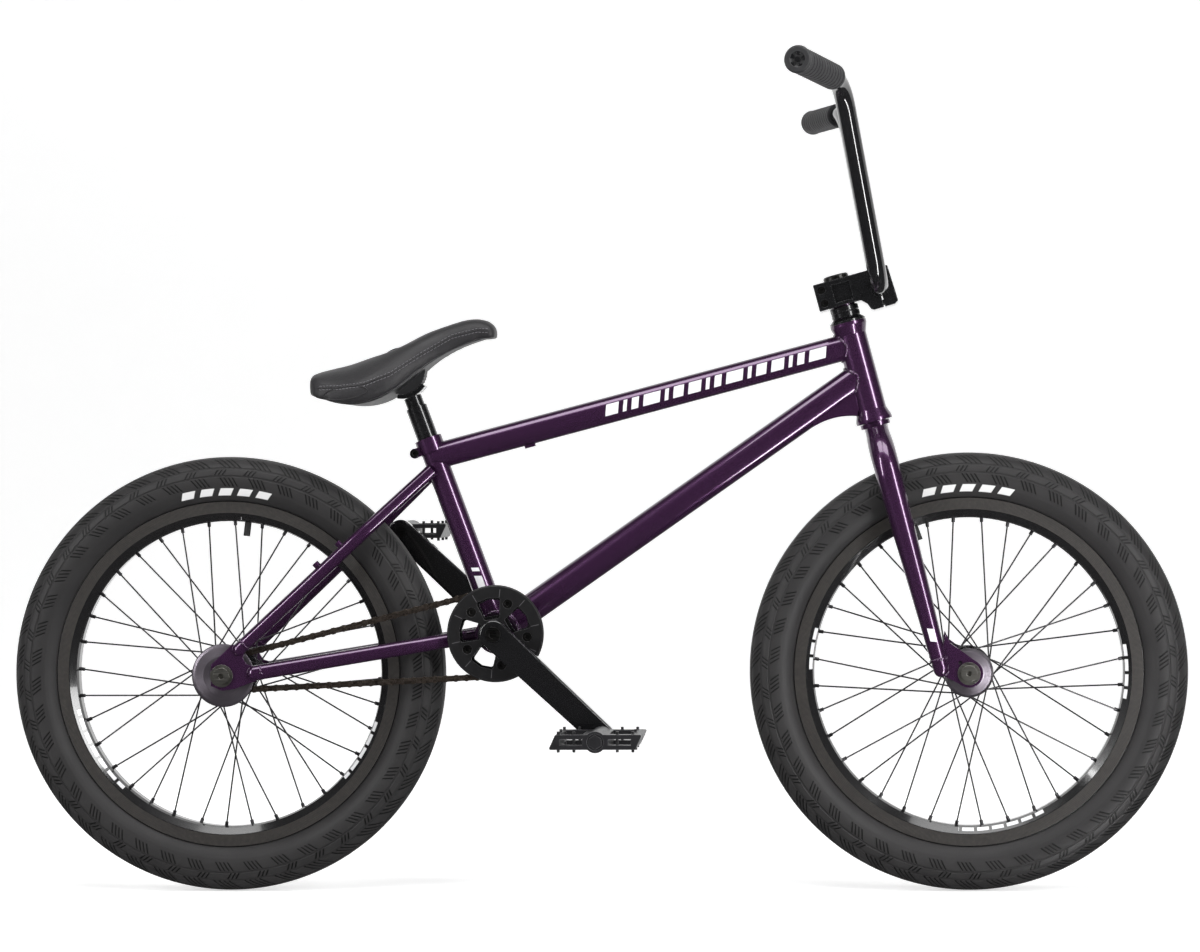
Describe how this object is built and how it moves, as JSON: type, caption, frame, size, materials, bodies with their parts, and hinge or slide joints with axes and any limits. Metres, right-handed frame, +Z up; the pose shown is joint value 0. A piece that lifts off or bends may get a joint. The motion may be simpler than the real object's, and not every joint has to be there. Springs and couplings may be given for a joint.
{
  "type": "bmx bike",
  "caption": "Freestyle bicycle with two spoked wheels, steering fork with high bars, chain drive, pedals and a tilting padded seat on a sliding post.",
  "frame": {"origin": "on the ground at mid-wheelbase, on the centre plane of the frame", "axes": "+X forward, +Y to the rider's left (chain on -Y), +Z up"},
  "size_m": [1.4032, 0.7456, 0.9637],
  "materials": {
    "frame_paint": "deep translucent purple, gloss",
    "black_gloss": "gloss black paint on steel",
    "black_alloy": "black anodised",
    "grey_alloy": "satin anodised grey",
    "bolt_steel": "dark plated",
    "chain_steel": "dark oiled",
    "bearing_steel": "ground",
    "spoke_black": "black oxide",
    "guard_plastic": "satin grey",
    "black_plastic": "moulded",
    "grip_rubber": "soft ribbed",
    "tube_rubber": "plain butyl",
    "tyre_rubber": "matte black",
    "saddle_cover": "grained dark grey synthetic leather"
  },
  "bodies": {
    "frame": {"head_tube": "frame_paint", "top_tube": "frame_paint", "down_tube": "frame_paint", "seat_tube": "frame_paint", "bb_shell": "frame_paint", "bottom_bracket": "bearing_steel", "down_tube_gusset": "frame_paint", "seat_stays": "frame_paint", "chain_stays": "frame_paint", "rear_dropouts": "frame_paint", "seat_collar": "frame_paint", "seat_collar_bolt": "bolt_steel", "brake_bosses": "frame_paint", "headset_bearings": "bearing_steel", "rear_axle": "bearing_steel", "rear_axle_bolts": "bolt_steel", "rear_hub_guards": "guard_plastic", "chain": "chain_steel"},
    "fork": {"steerer_tube": "frame_paint", "fork_legs": "frame_paint", "fork_dropouts": "frame_paint", "front_axle": "bearing_steel", "front_axle_bolts": "bolt_steel", "front_hub_guards": "guard_plastic", "headset_spacers": "black_alloy", "stem_body": "black_alloy", "stem_faceplate": "black_alloy", "stem_bolts": "bolt_steel", "handlebar": "black_gloss", "crossbar": "black_gloss", "grips": "grip_rubber", "bar_end_plugs": "black_plastic"},
    "front_wheel": {"front_tyre": "tyre_rubber", "front_inner_tube": "tube_rubber", "front_rim": "black_alloy", "front_spokes": "spoke_black", "front_nipples": "spoke_black", "front_hub_shell": "black_alloy", "front_hub_bearings": "bearing_steel"},
    "rear_wheel": {"rear_tyre": "tyre_rubber", "rear_inner_tube": "tube_rubber", "rear_rim": "black_alloy", "rear_spokes": "spoke_black", "rear_nipples": "spoke_black", "rear_hub_shell": "black_alloy", "rear_hub_bearings": "bearing_steel"},
    "driver": {"driver": "bolt_steel"},
    "crank": {"crank_spindle": "bearing_steel", "crank_arm_left": "black_gloss", "crank_arm_right": "black_gloss", "sprocket": "black_alloy", "sprocket_guard": "black_alloy", "crank_bolts": "bolt_steel", "pedal_axles": "bolt_steel"},
    "pedal_left": {"pedal_left": "black_plastic"},
    "pedal_right": {"pedal_right": "black_plastic"},
    "post": {"seat_post": "black_alloy", "seat_pivot_bolt": "bolt_steel"},
    "seat": {"seat_base": "black_plastic", "seat_padding": "saddle_cover"}
  },
  "joints": [
    {"name": "steering", "type": "hinge", "parent": "frame", "child": "fork", "pos_m": [0.317, 0, 0.615], "axis": [-0.2546, 0, 0.967], "continuous": true},
    {"name": "front_wheel_spin", "type": "hinge", "parent": "fork", "child": "front_wheel", "pos_m": [0.44165, 0, 0.26], "axis": [0, 1, 0], "continuous": true},
    {"name": "rear_wheel_spin", "type": "hinge", "parent": "frame", "child": "rear_wheel", "pos_m": [-0.44165, 0, 0.26], "axis": [0, 1, 0], "continuous": true},
    {"name": "crank_spin", "type": "hinge", "parent": "frame", "child": "crank", "pos_m": [-0.11669, 0, 0.30863], "axis": [0, 1, 0], "continuous": true, "deforming": ["chain"]},
    {"name": "driver_spin", "type": "hinge", "parent": "frame", "child": "driver", "pos_m": [-0.44165, 0, 0.26], "axis": [0, 1, 0], "continuous": true},
    {"name": "pedal_left_spin", "type": "hinge", "parent": "crank", "child": "pedal_left", "pos_m": [-0.24447, 0, 0.42821], "axis": [0, 1, 0], "continuous": true},
    {"name": "pedal_right_spin", "type": "hinge", "parent": "crank", "child": "pedal_right", "pos_m": [0.01109, 0, 0.18906], "axis": [0, 1, 0], "continuous": true},
    {"name": "post_height", "type": "slide", "parent": "frame", "child": "post", "axis": [-0.3453, 0, 0.9385], "range_m": [-0.045, 0.06]},
    {"name": "seat_tilt", "type": "hinge", "parent": "post", "child": "seat", "pos_m": [-0.23167, 0, 0.62115], "axis": [0, 1, 0], "range_deg": [-4, 14]}
  ],
  "couplings": [
    {"joint": "driver_spin", "follows": "crank_spin", "ratio": 2.7778}
  ]
}
